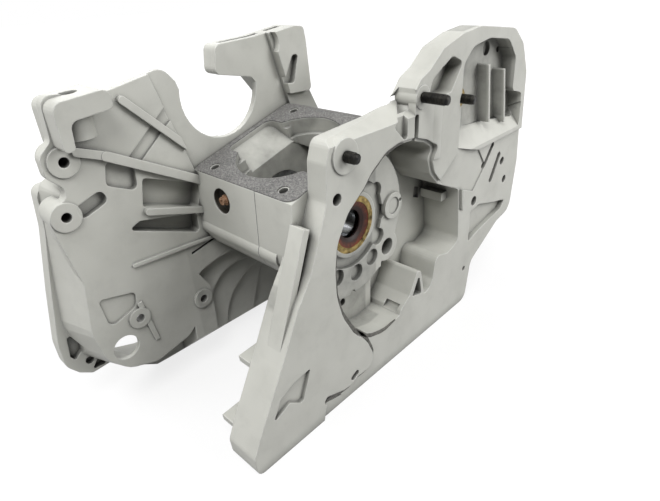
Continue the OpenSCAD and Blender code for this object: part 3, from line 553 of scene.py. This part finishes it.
def thread_tree():
    tree, given = new_tree("wound_thread", {
        "Radius": 3.0 * MM, "Pitch": 1.0 * MM, "Thread Length": 16.0 * MM,
        "Shank Length": 12.0 * MM, "Shank Radius": 2.6 * MM, "Foot": (0, 0, 0), "Finish": None})
    pitch, shank = given["Pitch"], given["Shank Length"]
    core = add(tree, MATH, {0: pitch, 1: -THREAD_DEPTH, 2: given["Radius"]},
               operation="MULTIPLY_ADD")
    wound = add(tree, MATH, {0: pitch, 1: -RUN_OUT, 2: given["Thread Length"]},
                operation="MULTIPLY_ADD")
    turns = add(tree, MATH, {0: wound, 1: pitch}, operation="DIVIDE")
    ridge = add(tree, MATH, {0: pitch, 1: RIDGE_RADIUS}, operation="MULTIPLY")
    spiral = add(tree, "GeometryNodeCurveSpiral",
                 {"Resolution": 28, "Rotations": turns, "Start Radius": core, "End Radius": core,
                  "Height": wound})
    profile = add(tree, "GeometryNodeCurvePrimitiveCircle", {"Resolution": 8, "Radius": ridge},
                  mode="RADIUS")
    winding = add(tree, "GeometryNodeCurveToMesh", {"Curve": spiral, "Profile Curve": profile,
                                                    "Fill Caps": True})
    bare = add(tree, "GeometryNodeMeshCylinder", {"Vertices": 48, "Radius": given["Shank Radius"],
                                                  "Depth": shank})
    cored = add(tree, "GeometryNodeMeshCylinder", {"Vertices": 48, "Radius": core,
                                                   "Depth": given["Thread Length"]})
    bare_middle = add(tree, MATH, {0: shank, 1: 0.5}, operation="MULTIPLY")
    core_middle = add(tree, MATH, {0: given["Thread Length"], 1: 0.5, 2: shank},
                      operation="MULTIPLY_ADD")
    ridge_start = add(tree, MATH, {0: pitch, 1: 0.5, 2: shank}, operation="MULTIPLY_ADD")
    joined = add(tree, "GeometryNodeJoinGeometry")
    for part, height in ((bare, bare_middle), (cored, core_middle), (winding, ridge_start)):
        lift = add(tree, "ShaderNodeCombineXYZ", {"Z": height})
        raised = add(tree, "GeometryNodeTransform", {"Geometry": part, "Translation": lift})
        tree.links.new(raised.outputs["Geometry"], joined.inputs["Geometry"])
    laid = add(tree, "GeometryNodeTransform", {"Geometry": joined, "Translation": given["Foot"],
                                               "Rotation": (0, math.pi / 2, 0)})
    return end_tree(tree, laid, given["Finish"])


threads = thread_tree()
print("thread tree has", len(threads.nodes), "nodes")

# %% [markdown]
# ### The three studs
#
# Each stud's radius and ends are read from its CAD solid, so the thread always sits where CAD put
# it. Only the length that stands out of the casting is threaded; the shank below it is thinner. A
# new piece gets its finish from the tree, rides on a body and replaces its solid.

# %% Cut the studs' threads
STANDS_OUT = {"front_cover_stud": 15.5, "rear_cover_stud": 7.0, "pivot_stud": 10.0}  # millimetres
PITCH, SHANK_STEP = 1.0 * MM, 0.4 * MM
for name, out_mm in STANDS_OUT.items():
    low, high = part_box(name)
    radius = (high[1] - low[1]) / 2
    length = high[0] - low[0]
    stud = built(threads, name + "_thread", {
        "Radius": radius, "Pitch": PITCH, "Thread Length": out_mm * MM,
        "Shank Length": length - out_mm * MM, "Shank Radius": radius - SHANK_STEP,
        "Foot": (low[0], (low[1] + high[1]) / 2, (low[2] + high[2]) / 2), "Finish": black_oxide})
    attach(stud, "case")
    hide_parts(name)
    print(name, "radius", round(radius / MM, 2), "mm, length", round(length / MM, 1), "mm,",
          len(stud.data.polygons), "faces")

# %% [markdown]
# ### Garter springs
#
# Behind each seal lip lies a garter spring, a thin coil closed into a ring, which presses the lip
# on the crank. Its wire winds round a circle, which no ready-made curve does. So a closed circle
# gets eight points for each turn of the coil, and a formula moves each point to its place on the
# wire.

# %% A tree that winds a coil round a ring
POINTS_A_TURN = 8.0


def garter_tree():
    tree, given = new_tree("garter_spring", {
        "Ring Radius": 12.0 * MM, "Coil Radius": 0.5 * MM, "Wire Radius": 0.18 * MM,
        "Ring Place": 0.0, "Turns": 90, "Finish": None})
    coil, turns = given["Coil Radius"], given["Turns"]
    points = add(tree, MATH, {0: turns, 1: POINTS_A_TURN}, operation="MULTIPLY")
    whole = add(tree, "FunctionNodeFloatToInt", {"Float": points})
    ring = add(tree, "GeometryNodeCurvePrimitiveCircle", {"Resolution": whole}, mode="RADIUS")
    share = add(tree, MATH, {0: add(tree, "GeometryNodeInputIndex"), 1: points}, operation="DIVIDE")
    around = add(tree, MATH, {0: share, 1: 2 * math.pi}, operation="MULTIPLY")
    wound = add(tree, MATH, {0: around, 1: turns}, operation="MULTIPLY")
    cos_wound = add(tree, MATH, {0: wound}, operation="COSINE")
    sin_wound = add(tree, MATH, {0: wound}, operation="SINE")
    cos_around = add(tree, MATH, {0: around}, operation="COSINE")
    sin_around = add(tree, MATH, {0: around}, operation="SINE")
    reach = add(tree, MATH, {0: coil, 1: cos_wound, 2: given["Ring Radius"]},
                operation="MULTIPLY_ADD")
    x = add(tree, MATH, {0: coil, 1: sin_wound, 2: given["Ring Place"]}, operation="MULTIPLY_ADD")
    y = add(tree, MATH, {0: reach, 1: cos_around}, operation="MULTIPLY")
    z = add(tree, MATH, {0: reach, 1: sin_around}, operation="MULTIPLY")
    place = add(tree, "ShaderNodeCombineXYZ", {"X": x, "Y": y, "Z": z})
    coiled = add(tree, "GeometryNodeSetPosition", {"Geometry": ring, "Position": place})
    wire = add(tree, "GeometryNodeCurvePrimitiveCircle",
               {"Resolution": 6, "Radius": given["Wire Radius"]}, mode="RADIUS")
    swept = add(tree, "GeometryNodeCurveToMesh", {"Curve": coiled, "Profile Curve": wire})
    return end_tree(tree, swept, given["Finish"])


garters = garter_tree()
print("garter tree has", len(garters.nodes), "nodes")

# %% [markdown]
# ### The two springs
#
# Each spring fills the plain ring that stands for it in the CAD. Coil and wire together take up
# nearly all of that ring's thickness, so nothing stands out of it.

# %% Wind the garter springs
COIL_SHARE, WIRE_SHARE = 0.7, 0.28  # of the ring's half thickness
TURNS = 90
for side in SIDES:
    low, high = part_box(side + "_seal_spring")
    half = (high[0] - low[0]) / 2
    spring = built(garters, side + "_garter_spring", {
        "Ring Radius": (high[1] - low[1]) / 2 - half, "Coil Radius": half * COIL_SHARE,
        "Wire Radius": half * WIRE_SHARE, "Ring Place": (low[0] + high[0]) / 2, "Turns": TURNS,
        "Finish": bearing_steel})
    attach(spring, "case")
    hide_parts(side + "_seal_spring")
    print(spring.name, len(spring.data.polygons), "faces")

# %% [markdown]
# ## Backs of the foot's pockets
#
# The two small pockets and the screw hole in the rear foot break through into the fan housing,
# where the real ones end in a thin skin. That skin is a flat sheet in the outline of each one,
# with a margin that lies in the metal round it. Such a shape follows no rule and repeats nothing,
# so it is made in plain mesh code, from its corners and faces.

# %% Close the foot's pockets
SKIN_LOW_X, SKIN_HIGH_X = -67.7, -66.6
SCREW_HOLE, SCREW_HOLE_RADIUS = (-130.2, -71.3), 3
POCKET_OUTLINES = {  # corners as [y, z] in millimetres
    "foot_pocket_skin": [(-141, -64), (-138, -68.5), (-131, -63), (-130.7, -56), (-136, -47.8),
                         (-139.8, -49)],
    "foot_corner_skin": [(-132.5, -80.2), (-120, -80.2), (-124.5, -70.6)],
    "foot_screw_hole_end": [(SCREW_HOLE[0] + SCREW_HOLE_RADIUS * math.cos(math.radians(angle)),
                             SCREW_HOLE[1] + SCREW_HOLE_RADIUS * math.sin(math.radians(angle)))
                            for angle in range(0, 360, 30)],
}


def mesh_piece(name, corners_mm, faces, material):
    """A mesh object at the origin, made from its corners in millimetres and its faces."""
    mesh = bpy.data.meshes.new(name)
    mesh.from_pydata([[value * MM for value in corner] for corner in corners_mm], [], faces)
    mesh.materials.append(material)
    piece = bpy.data.objects.new(name, mesh)
    bpy.context.collection.objects.link(piece)
    return piece


def skin_of(outline):
    """Corners and faces of a closed flat sheet."""
    count = len(outline)
    corners = [(x, y, z) for x in (SKIN_LOW_X, SKIN_HIGH_X) for y, z in outline]
    sides = [(i, (i + 1) % count, count + (i + 1) % count, count + i) for i in range(count)]
    return corners, [tuple(range(count))[::-1], tuple(range(count, 2 * count))] + sides


for name, outline in POCKET_OUTLINES.items():
    skin = mesh_piece(name, *skin_of(outline), casting)
    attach(skin, "case")
    print(name, len(skin.data.polygons), "faces")

# %% [markdown]
# ## Dirt and painted shadow along the recess
#
# Chain oil and sawdust set hard along the step beside the recess, under the edge of the cover
# that is gone, where the step's shadow falls. The bead is that crust and the painted shadow
# together. Dried, the crust is dull, lumpy and dark grey, with paler dust in it. It could be a
# dark stain in the paint, but it has a thickness and an uneven rim, so it is a shape of its own.


# %% Crust of oil and sawdust, with painted shadow
def dirt_with_painted_shadow():
    material, tree = new_material("dirt_with_painted_shadow")
    space = pattern_space(tree)
    dust = add(tree, NOISE, {"Vector": space, "Scale": sized(2.5), "Detail": 4.0, "Roughness": 0.7})
    lumps = add(tree, NOISE,
                {"Vector": space, "Scale": sized(0.8), "Detail": 3.0, "Roughness": GRAIN})
    # Dark grey for the crust and for the painted shadow beside the step.
    tone = add(tree, RAMP, {"Fac": dust}, stops=((0.3, "#2B2A26"), (0.7, "#6A6862")))
    skin = add(tree, BUMP, {"Strength": 0.6, "Distance": 0.2 * MM, "Height": lumps})
    shader = add(tree, "ShaderNodeBsdfPrincipled",
                 {"Base Color": tone, "Roughness": 0.6, "Normal": skin})
    add(tree, "ShaderNodeOutputMaterial", {"Surface": shader})
    return material


dirt_and_shadow = dirt_with_painted_shadow()
print("made", dirt_and_shadow.name)

# %% [markdown]
# ### Three beads of dirt and painted shadow
#
# Each bead is thin and flat, with an uneven width, and is given as [y, z, width] in millimetres
# along its middle. Every point of that line gets four corners: two wide ones on the metal and two
# narrower ones above it, which gives the bead its slanted edges.

# %% Lay the dirt and painted shadow
BEAD_LOW_X, BEAD_HIGH_X, BEAD_TOP_SHARE = 52.6, 53.25, 0.6
DIRT_AND_SHADOW_LINES = {
    "recess_lip_dirt_and_shadow": [
        (-29.6, 5.0, 0.6), (-30.4, 0.0, 1.8), (-31.2, -5.1, 2.4), (-31.8, -10.2, 2.2),
        (-31.8, -15.4, 2.6), (-31.8, -20.5, 3.0), (-31.5, -25.6, 2.6), (-30.3, -30.6, 2.8),
        (-29.0, -35.6, 2.5), (-27.6, -40.6, 2.9), (-25.3, -45.1, 3.2), (-22.8, -49.7, 2.8),
        (-20.4, -54.2, 3.1), (-17.7, -58.6, 3.4), (-14.2, -62.3, 3.6), (-10.5, -65.9, 3.2),
        (-6.7, -69.4, 2.8), (-2.3, -71.9, 3.0), (2.7, -73.5, 2.9), (7.6, -74.9, 3.1),
        (12.7, -75.4, 2.6), (17.8, -74.8, 2.0), (22.9, -74.2, 0.6)],
    "low_face_dirt_and_shadow": [
        (-15.9, -58.8, 1.4), (-13.4, -62.2, 2.6), (-11.0, -65.5, 3.4), (-8.5, -68.9, 3.1),
        (-6.0, -72.4, 2.9), (-4.2, -76.4, 2.7), (-2.5, -80.3, 2.9), (-1.0, -84.7, 2.5),
        (-1.7, -89.6, 2.3), (-4.1, -94.2, 2.5), (-9.0, -95.8, 2.9), (-13.4, -95.7, 3.4),
        (-17.2, -95.5, 3.0), (-20.9, -96.8, 2.6), (-25.3, -97.8, 3.0), (-29.7, -97.4, 3.8),
        (-33.9, -96.9, 4.0), (-38.0, -96.4, 3.4), (-42.1, -96.0, 2.2), (-46.2, -95.5, 0.8)],
    "upper_lip_dirt_and_shadow": [
        (-14.6, 23.9, 0.6), (-11.4, 26.3, 2.0), (-8.2, 28.7, 3.0), (-5.4, 31.6, 3.4),
        (-2.7, 34.5, 2.9), (0.6, 36.8, 3.3), (4.0, 38.9, 3.6), (7.4, 41.1, 2.8),
        (11.1, 42.8, 3.1), (15.0, 43.6, 3.5), (19.0, 44.3, 2.9), (23.0, 44.5, 2.0),
        (27.0, 44.2, 0.6)],
}


def bead_along(middle):
    """Corners and faces of a closed flat bead along a line."""
    corners, faces = [], []
    for i, (y, z, width) in enumerate(middle):
        before, after = middle[max(i - 1, 0)], middle[min(i + 1, len(middle) - 1)]
        along = Vector((after[0] - before[0], after[1] - before[1])).normalized()
        off = Vector((-along.y, along.x)) * width / 2
        for side, x in ((-1, BEAD_LOW_X), (-BEAD_TOP_SHARE, BEAD_HIGH_X),
                        (BEAD_TOP_SHARE, BEAD_HIGH_X), (1, BEAD_LOW_X)):
            corners.append((x, y + side * off.x, z + side * off.y))
    for i in range(0, len(corners) - 4, 4):
        faces += [(i + 4 + j, i + 4 + (j + 1) % 4, i + (j + 1) % 4, i + j) for j in range(4)]
    faces += [(0, 1, 2, 3), tuple(range(len(corners) - 4, len(corners)))[::-1]]
    return corners, faces


for name, middle in DIRT_AND_SHADOW_LINES.items():
    bead = mesh_piece(name, *bead_along(middle), dirt_and_shadow)
    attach(bead, "case")
    print(name, len(bead.data.polygons), "faces")

# %% [markdown]
# ## Studio
#
# The photograph shows the case alone on white. A wide floor keeps the object's own soft shadow,
# and further out it passes into the white behind. That white comes from the floor and the world
# only as the camera, gloss and glass see them, and not from more light on the object: for every
# other ray the floor is a mid grey and the world a weak fill.


# %% Floor
GREY_WITHIN, WHITE_FROM, FLOOR_HALF = 0.2, 0.75, 4  # metres from the origin


def sees_white(tree):
    """1 for a ray from the camera, off gloss or through glass, and 0 for one that carries light."""
    rays = add(tree, "ShaderNodeLightPath").outputs
    mirrored = add(tree, MATH, {0: rays["Is Glossy Ray"], 1: rays["Is Transmission Ray"]},
                   operation="ADD")
    any_of_them = add(tree, MATH, {0: mirrored, 1: rays["Is Camera Ray"]}, operation="ADD")
    return add(tree, MATH, {0: any_of_them, 1: 1.0}, operation="MINIMUM")


def floor_surface():
    material, tree = new_material("pale_studio_floor")
    place = add(tree, "ShaderNodeTexCoord").outputs["Object"]
    distance = add(tree, "ShaderNodeVectorMath", {0: place}, operation="LENGTH")
    strength = add(tree, RANGE, {"Value": distance, "From Min": GREY_WITHIN, "From Max": WHITE_FROM,
                                 "To Min": 0.8})
    glow = add(tree, "ShaderNodeEmission", {"Color": linear("#FFFFFF"), "Strength": strength})
    paper = add(tree, "ShaderNodeBsdfPrincipled",
                {"Base Color": linear("#6E6E6E"), "Roughness": 0.9})
    both = add(tree, "ShaderNodeAddShader", {0: paper, 1: glow})
    surface = add(tree, "ShaderNodeMixShader", {0: sees_white(tree), 1: paper, 2: both})
    add(tree, "ShaderNodeOutputMaterial", {"Surface": surface})
    return material


floor_z = cad_box[0][2]
floor_corners = [(x * FLOOR_HALF / MM, y * FLOOR_HALF / MM, floor_z / MM)
                 for x, y in ((-1, -1), (1, -1), (1, 1), (-1, 1))]
floor = mesh_piece("studio_floor", floor_corners, [(0, 1, 2, 3)], floor_surface())
print("floor at", round(floor_z / MM, 1), "mm")

# %% [markdown]
# ### World and lamps
#
# A picture of a studio could light the case, but four soft lamps are easier to balance against
# the photograph's tones, region by region: one above the camera, one ahead of the case, one
# behind it, and a weak one for the fan side, which the picture doesn't show.

# %% World and lamps
world = bpy.data.worlds.new("white_studio")
world.use_nodes = True
tree = world.node_tree
tree.nodes.clear()
surround = add(tree, "ShaderNodeBackground", {"Color": linear("#FFFFFF"), "Strength": 0.06})
backdrop = add(tree, "ShaderNodeBackground", {"Color": linear("#FFFFFF"), "Strength": 1.0})
view = add(tree, "ShaderNodeMixShader", {0: sees_white(tree), 1: surround, 2: backdrop})
add(tree, "ShaderNodeOutputWorld", {"Surface": view})
bpy.context.scene.world = world
bpy.context.scene.view_settings.view_transform = "Standard"

LAMP_WIDTH = 0.8
LAMPS = {  # place in metres, and power in watts
    "key_softbox": ((0.45, -0.6, 1.1), 14.5),
    "front_softbox": ((1.0, 0.6, 0.55), 10.5),
    "rear_softbox": ((-0.4, -0.75, 1.0), 9),
    "fan_side_softbox": ((-1.1, 0.4, 0.7), 4),
}
for name, (place, watts) in LAMPS.items():
    data = bpy.data.lights.new(name, "AREA")
    data.shape, data.size, data.energy = "DISK", LAMP_WIDTH, watts
    lamp = bpy.data.objects.new(name, data)
    lamp.location = place
    lamp.rotation_euler = (-Vector(place)).to_track_quat("-Z", "Y").to_euler()
    bpy.context.collection.objects.link(lamp)
    print(name, watts, "W")
